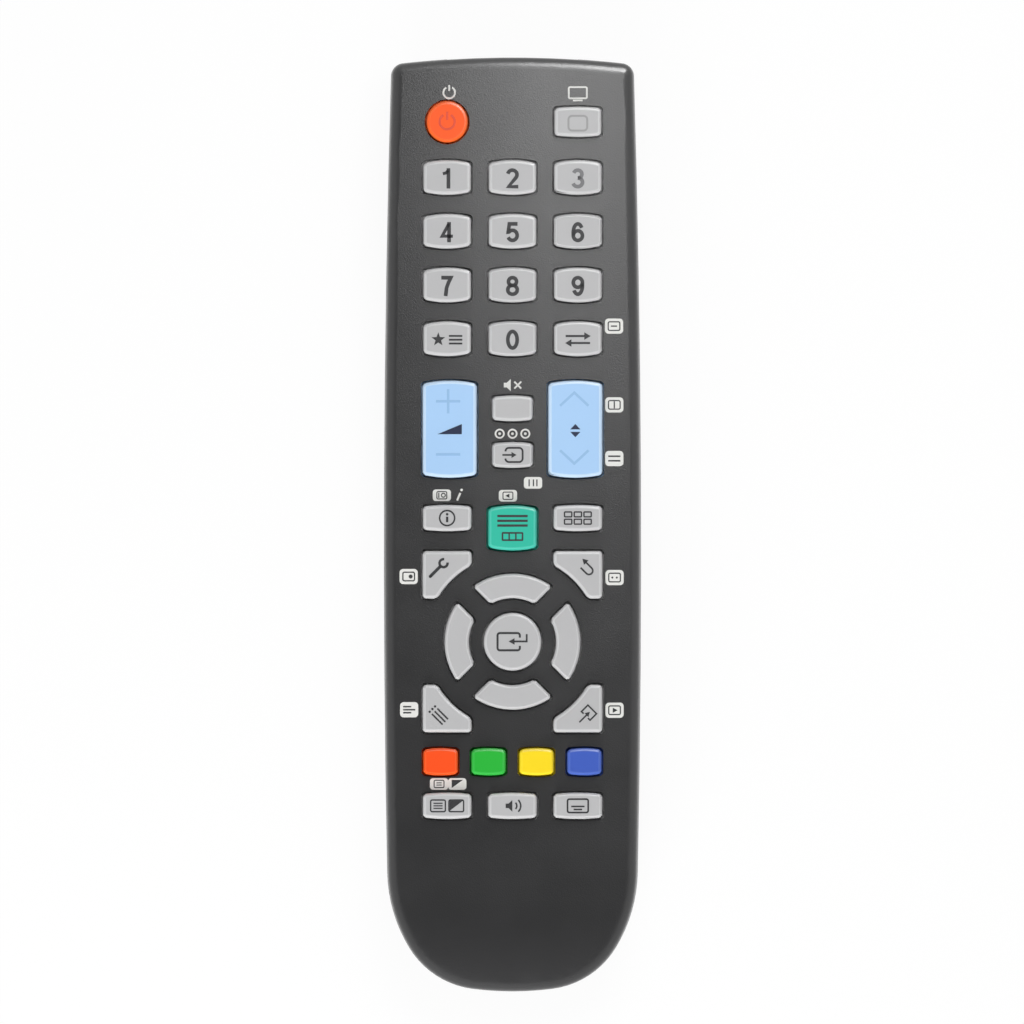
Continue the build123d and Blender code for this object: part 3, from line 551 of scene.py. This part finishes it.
row_drop = 0.2
for number in range(1, 10):
    across, down = (number - 1) % 3, (number - 1) // 3
    ink = faded_ink if number == 3 else dark_ink
    on_key(f"key_{number}", ink,
           (digits[str(number)], (across - 1) * column, digit_rows[down] - row_drop))
on_key("key_0", dark_ink, (digits["0"], 0, digit_rows[3] - row_drop))
on_key("key_power", moulded_orange, (sized(standby, 1.5), -column, head_row))
on_key("key_screen", moulded_grey, (screen_mark, column, head_row - 0.3))
on_key("key_favourite", dark_ink, (starred_list, -column, digit_rows[3] - row_drop))
on_key("key_previous", dark_ink, (sized(swap_arrows, 1.15), column, digit_rows[3] - 0.1))
on_key("rocker_volume", navy_ink, (wedge, -rocker_x, rocker_y))
on_key("rocker_volume", moulded_blue, (plus, -rocker_x - 0.3, rocker_y + 5.5),
       (minus, -rocker_x - 0.3, rocker_y - 5.0), suffix="moulding")
on_key("rocker_channel", navy_ink, (up_down, rocker_x, rocker_y - 0.3))
on_key("rocker_channel", moulded_blue, (chevron, rocker_x - 0.2, rocker_y + 5.9),
       (turned(chevron, 180), rocker_x - 0.2, rocker_y - 5.5), suffix="moulding")
on_key("key_source", dark_ink, (source_mark, 0, source_y))
on_key("key_info", dark_ink, (sized(info_mark, 1.1), -column, info_row))
on_key("key_menu", dark_ink, (sized(menu_bars, 1.25), 0, menu_y + 1.4),
       (sized(menu_boxes, 1.1), 0, menu_y - 1.7))
on_key("key_guide", dark_ink, (sized(guide_mark, 1.2), column, info_row))
corner_out = corner_x + 0.4
on_key("key_tools", dark_ink, (turned(wrench, 45), -corner_out, ring_y + corner_rise))
on_key("key_return", dark_ink, (turned(return_arrow, -45), corner_out, ring_y + corner_rise))
on_key("key_list", dark_ink, (turned(list_mark, -45), -corner_out, ring_y - corner_rise))
on_key("key_exit", dark_ink, (turned(exit_mark, 45), corner_out, ring_y - corner_rise))
on_key("key_ok", dark_ink, (enter_mark, 0, ring_y))
on_key("key_text", dark_ink, (page_mark, -column - 1.8, text_row), (mix_mark, -column + 1.8, text_row))
on_key("key_audio", dark_ink, (turned(speaker + waves, 0, 0.3, size=1.1), 0, text_row))
on_key("key_subtitle", dark_ink, (sized(caption_mark, 1.2), column, text_row))

face_skin = skin_of(bpy.data.objects["front_case_finished"])
printed("face_print", [
    (sized(standby, 1.15), -12.5, 85.3), (sized(monitor, 1.05), 12.9, 85.0),
    (sized(muted, 1.15), 0, 27.5), (sized(sockets, 1.1), 0, 17.9),
], white_ink, "case", face_skin)

# White badges beside the keys: plates set out on points, each with a dark sign. Middles in millimetres
side_badges = ((20.05, 39.15), (20.1, 23.6), (20.1, 13.0), (-20.5, -10.3), (20.15, -10.5),
               (-20.4, -36.6), (20.15, -36.7))
row_badges = ((4.05, 8.2), (-0.9, 5.65), (-13.95, 5.75), (-14.5, -51.25), (-10.9, -51.25))


def geometry_tree(name, inputs, output):
    """A node tree that makes geometry: the tree, what its inputs give, and the inputs' sockets."""
    tree = bpy.data.node_groups.new(name, "GeometryNodeTree")
    named = {label: tree.interface.new_socket(label, in_out="INPUT", socket_type=kind)
             for label, kind in inputs.items()}
    tree.interface.new_socket(output, in_out="OUTPUT", socket_type="NodeSocketGeometry")
    return tree, add_node(tree, "NodeGroupInput").outputs, named


def end_tree(tree, output, geometry, material):
    """Ends a node tree in real geometry of one material."""
    real = add_node(tree, "GeometryNodeRealizeInstances", feeds={"Geometry": geometry})
    painted = add_node(tree, "GeometryNodeSetMaterial", {"Material": material},
                       {"Geometry": real.outputs["Geometry"]})
    add_node(tree, "NodeGroupOutput", feeds={output: painted.outputs["Geometry"]})


def applied(name, mesh, tree, named, values):
    """The plain mesh that a node tree makes, with its inputs set by their sockets' identifiers."""
    obj = in_scene(name, mesh)
    step = obj.modifiers.new("nodes", "NODES")
    step.node_group = tree
    for label, value in values.items():
        step[named[label].identifier] = value
    made = as_modified(obj)
    bpy.data.objects.remove(obj)
    return made


plates, given, plate_inputs = geometry_tree("badge_plates", {
    "Points": "NodeSocketGeometry", "Plate width": "NodeSocketFloat",
    "Plate height": "NodeSocketFloat", "Corner radius": "NodeSocketFloat",
}, "Plates")
outline = add_node(plates, "GeometryNodeCurvePrimitiveQuadrilateral", feeds={
    "Width": given["Plate width"], "Height": given["Plate height"]})
corners = add_node(plates, "GeometryNodeFilletCurve", {"Count": 5}, {
    "Curve": outline.outputs["Curve"], "Radius": given["Corner radius"]}, mode="POLY")
filled = add_node(plates, "GeometryNodeFillCurve", feeds={"Curve": corners.outputs["Curve"]})
set_out = add_node(plates, "GeometryNodeInstanceOnPoints", feeds={
    "Points": given["Points"], "Instance": filled.outputs["Mesh"]})
end_tree(plates, "Plates", set_out.outputs["Instances"], white_ink)

badge_width = 3.6 * MM
for name, places, badge_height, corner_radius in (("side_badges", side_badges, 3.0 * MM, 0.7 * MM),
                                                  ("row_badges", row_badges, 2.3 * MM, 0.6 * MM)):
    spots = bpy.data.meshes.new(name + "_spots")
    spots.from_pydata([(x * MM, y * MM, 0) for x, y in places], [], [])
    badges = applied(name + "_spots", spots, plates, plate_inputs, {
        "Plate width": badge_width, "Plate height": badge_height, "Corner radius": corner_radius})
    piece(name, laid(badges, face_skin), white_ink, "case")

half_page = frame_line(0, 0, 2.3, 1.7, 0.3, 0.24)
badge_signs = (
    half_page + bars(-0.6, 0.6, (0,), 0.26),
    half_page + posts(-0.7, 0.7, (0,), 0.26),
    bars(-1.2, 1.2, (0.45, -0.45), 0.3),
    half_page + disc(0.4, 0, 0.4),
    half_page + disc(-0.45, 0, 0.2) + disc(0.45, 0, 0.2),
    bars(-1.2, 0.4, (0.6,), 0.28) + bars(-1.2, 1.2, (0,), 0.28) + bars(-1.2, 0.4, (-0.6,), 0.28),
    half_page + solid([(-0.35, 0.5), (0.6, 0), (-0.35, -0.5)]),
    posts(-0.8, 0.8, (-0.9, 0.1, 0.9), 0.3),
    half_page + solid([(0.35, 0.5), (-0.6, 0), (0.35, -0.5)]),
    half_page + ring(0.35, 0, 0.45, 0.45, 0.24) + posts(-0.6, 0.6, (-0.7,), 0.26),
    half_page + bars(-0.6, 0.6, (0.25, -0.25), 0.22),
    solid([(-1.3, -0.95), (1.3, 0.95), (-1.3, 0.95)]),
)
side_count, row_sign_size = len(side_badges), 0.85
signs = [(sign, x, y) for sign, (x, y) in zip(badge_signs, side_badges)]
signs += [(sized(sign, row_sign_size), x, y)
          for sign, (x, y) in zip(badge_signs[side_count:], row_badges)]
printed("badge_signs", signs, dark_ink, "case", face_skin, badge_sign_top)
printed("slanted_sign", [(slanted_mark, -10.6, 5.7)], white_ink, "case", face_skin)

# The parts inside
for node, material in {
    "keypad_mat": silicone, "circuit_board": solder_mask, "controller_chip": chip_plastic,
    "resonator": tinned, "capacitor": chip_plastic, "driver_transistor": chip_plastic,
    "chip_resistors": chip_plastic, "contact_link": nickel, "contact_positive": nickel,
    "contact_negative": nickel, "ir_led_leads": tinned, "case_screws": tinned, "ir_led": led_resin,
    "battery_cell_left": jacket, "battery_cell_right": jacket,
}.items():
    sharp_edged(node, material, "case")


def cross_recess(screws, middle, head_radius, arm, half_slot, depth):
    """Cuts a cross recess into the screw head that looks down at a place along the case."""
    under = min(v.co.z for v in screws.data.vertices if abs(v.co.y - middle) < 2 * head_radius)
    cross = [(math.cos(q) * x - math.sin(q) * y, math.sin(q) * x + math.cos(q) * y)
             for q in (0, math.pi / 2, math.pi, -math.pi / 2)
             for x, y in ((arm, -half_slot), (arm, half_slot), (half_slot, half_slot))]
    bit = bpy.data.meshes.new("cross_bit")
    bit.from_pydata([(x, middle + y, under - depth) for x, y in cross], [], [list(range(len(cross)))])
    work = bmesh.new()
    work.from_mesh(bit)
    for vertex in thickened(work):
        vertex.co.z = under + depth
    bmesh.ops.recalc_face_normals(work, faces=work.faces)
    work.to_mesh(bit)
    work.free()
    cutter = in_scene("cross_bit", bit)
    cut = screws.modifiers.new("cross", "BOOLEAN")
    cut.operation = "DIFFERENCE"
    cut.object = cutter
    recessed = as_modified(screws)
    screws.modifiers.clear()
    screws.data = recessed
    bpy.data.objects.remove(cutter)


screws = bpy.data.objects["case_screws_finished"]
screw_low, screw_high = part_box("case_screws")
head_radius = 2.2 * MM
for middle in (screw_high.y - head_radius, screw_low.y + head_radius):
    cross_recess(screws, middle, head_radius, arm=1.2 * MM, half_slot=0.28 * MM, depth=0.8 * MM)
screws.data.set_sharp_from_angle(angle=math.radians(crease))

# The cells' ends are bare metal, and their jackets stop at the ends' rims
looks_along, rim_facet = 0.5, 1e-7
for side in ("left", "right"):
    wrapped = bpy.data.objects[f"battery_cell_{side}_finished"].data
    wrapped.materials.append(nickel)
    for polygon in wrapped.polygons:
        polygon.material_index = int(abs(polygon.normal.y) > looks_along or polygon.area < rim_facet)

# The contact springs: a tapered coil from each spring's seat to the flat end of its cell
coil, given, coil_inputs = geometry_tree("contact_spring", {
    "Turns": "NodeSocketFloat", "Seat radius": "NodeSocketFloat", "Tip radius": "NodeSocketFloat",
    "Rise": "NodeSocketFloat", "Wire radius": "NodeSocketFloat", "Turned back": "NodeSocketBool",
}, "Spring")
spiral = add_node(coil, "GeometryNodeCurveSpiral", {"Resolution": 32}, {
    "Rotations": given["Turns"], "Start Radius": given["Seat radius"],
    "End Radius": given["Tip radius"], "Height": given["Rise"], "Reverse": given["Turned back"]})
section = add_node(coil, "GeometryNodeCurvePrimitiveCircle", {"Resolution": 10}, {
    "Radius": given["Wire radius"]})
tube = add_node(coil, "GeometryNodeCurveToMesh", {"Fill Caps": True}, {
    "Curve": spiral.outputs["Curve"], "Profile Curve": section.outputs["Curve"]})
smooth = add_node(coil, "GeometryNodeSetShadeSmooth", feeds={"Geometry": tube.outputs["Mesh"]})
end_tree(coil, "Spring", smooth.outputs["Geometry"], nickel)

cell_radius, wire_radius, seat_radius, tip_radius = 5.25 * MM, 0.3 * MM, 3.4 * MM, 2.0 * MM
for side, way in (("left", 1), ("right", -1)):
    low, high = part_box(f"spring_{side}")
    cell_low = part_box(f"battery_cell_{side}")[0]
    seat = low.y + wire_radius if way > 0 else high.y - wire_radius
    empty = bpy.data.meshes.new(f"spring_{side}_wire")
    wire = applied(f"spring_{side}_wire", empty, coil, coil_inputs, {
        "Turns": 3.0, "Seat radius": seat_radius, "Tip radius": tip_radius,
        "Rise": high.y - low.y - 2 * wire_radius, "Wire radius": wire_radius, "Turned back": way > 0})
    place = Matrix.Translation((cell_low.x + cell_radius, seat, cell_low.z + cell_radius))
    wire.transform(place @ Matrix.Rotation(math.radians(-90 * way), 4, "X"))
    piece(f"spring_{side}_finished", wire, nickel, "case", f"spring_{side}")


# The stage


def larger(tree, one, other):
    """The larger of two values in a node tree."""
    return add_node(tree, "ShaderNodeMath", feeds={0: one, 1: other}, operation="MAXIMUM").outputs[0]


def seen(tree, rays):
    """1 for a ray of the camera's, off a glossy surface or through a clear one, and 0 for others."""
    return larger(tree, larger(tree, rays["Is Camera Ray"], rays["Is Glossy Ray"]),
                  rays["Is Transmission Ray"])


# What shines back from above is a dim ceiling between pale walls; to the camera all of it is white.
# wall_top and ceiling_middle say how far up a direction points, from 0 to 1
wall_top, ceiling_middle, ceiling_level, sky_light = 0.6, 0.94, 0.12, 0.39
studio = bpy.data.worlds.new("studio")
scene.world = studio
studio.use_nodes = True
sky = studio.node_tree
sky_rays = add_node(sky, "ShaderNodeLightPath").outputs
heading = add_node(sky, "ShaderNodeTexCoord")
upward = add_node(sky, "ShaderNodeSeparateXYZ", feeds={"Vector": heading.outputs["Generated"]})
ceiling = add_node(sky, "ShaderNodeMapRange", {
    "From Min": wall_top, "From Max": ceiling_middle, "To Min": 1.0, "To Max": ceiling_level},
    {"Value": upward.outputs["Z"]})
brightness = add_node(sky, "ShaderNodeMapRange", {"To Min": sky_light}, {
    "To Max": larger(sky, ceiling.outputs["Result"], sky_rays["Is Camera Ray"]),
    "Value": seen(sky, sky_rays)})
sky.links.new(brightness.outputs["Result"], sky.nodes["Background"].inputs["Strength"])
sky.nodes["Background"].inputs["Color"].default_value = (1, 1, 1, 1)

# The floor glows white to those rays, and keeps the object's shadow in the rest
floor_reach, floor_drop, glow_share = 6, 0.05 * MM, 0.92
floor_mesh = bpy.data.meshes.new("floor")
floor_corners = [(x * floor_reach, y * floor_reach, 0) for x, y in ((-1, -1), (1, -1), (1, 1), (-1, 1))]
floor_mesh.from_pydata(floor_corners, [], [(0, 1, 2, 3)])
floor = in_scene("floor", floor_mesh)
floor.location.z = -floor_drop
floor_material = bpy.data.materials.new("white_floor")
floor_material.use_nodes = True
tree = floor_material.node_tree
diffuse = tree.nodes["Principled BSDF"]
diffuse.inputs["Base Color"].default_value = (0.95, 0.95, 0.95, 1)
diffuse.inputs["Roughness"].default_value = 0.9
glow = add_node(tree, "ShaderNodeEmission", {"Strength": 1.0})
floor_rays = add_node(tree, "ShaderNodeLightPath").outputs
share = add_node(tree, "ShaderNodeMath", {1: glow_share}, {0: seen(tree, floor_rays)},
                 operation="MULTIPLY")
lift = add_node(tree, "ShaderNodeMixShader", feeds={
    "Fac": share.outputs[0], 1: diffuse.outputs["BSDF"], 2: glow.outputs["Emission"]})
tree.links.new(lift.outputs["Shader"], tree.nodes["Material Output"].inputs["Surface"])
floor_mesh.materials.append(floor_material)
floor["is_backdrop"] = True


def lamp(name, place, aim, size, energy):
    """A square soft lamp aimed at a point."""
    light = bpy.data.lights.new(name, "AREA")
    light.size = size
    light.energy = energy
    obj = in_scene(name, light)
    obj.location = place
    obj.rotation_euler = (Vector(aim) - Vector(place)).to_track_quat("-Z", "Y").to_euler()
    return obj


lamp("head_lamp", (0.041, 0.149, 0.336), (0.01, 0.05, 0.02), 0.17, 0.54)
tail_lamp = lamp("tail_lamp", (-0.094, -0.484, 0.215), (0.0, -0.05, 0.02), 0.3, 2.3)
tail_lamp.visible_glossy = False
edge_lamp = lamp("edge_lamp", (0.27, 0.6, 0.42), (0.01, 0.09, 0.02), 0.45, 13.0)
edge_lamp.visible_diffuse = False

# The camera looks straight down. The remote's length and middle in the photo are in pixels, and its
# scale holds at scale_height over the floor
remote_length, photo_length, photo_side = 185 * MM, 934.9, 1024
photo_middle_x, photo_middle_y, scale_height = 512.5, 524.35, 14 * MM
camera = in_scene("camera", bpy.data.cameras.new("camera"))
scene.camera = camera
camera.data.lens = 600
camera.data.sensor_width = 36
camera.data.clip_end = 50
pixel = remote_length / photo_length
distance = photo_side * pixel * camera.data.lens / camera.data.sensor_width
camera.location = ((photo_side / 2 - photo_middle_x) * pixel, (photo_middle_y - photo_side / 2) * pixel,
                   scale_height + distance)

scene.view_settings.view_transform = "Standard"

low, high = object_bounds()
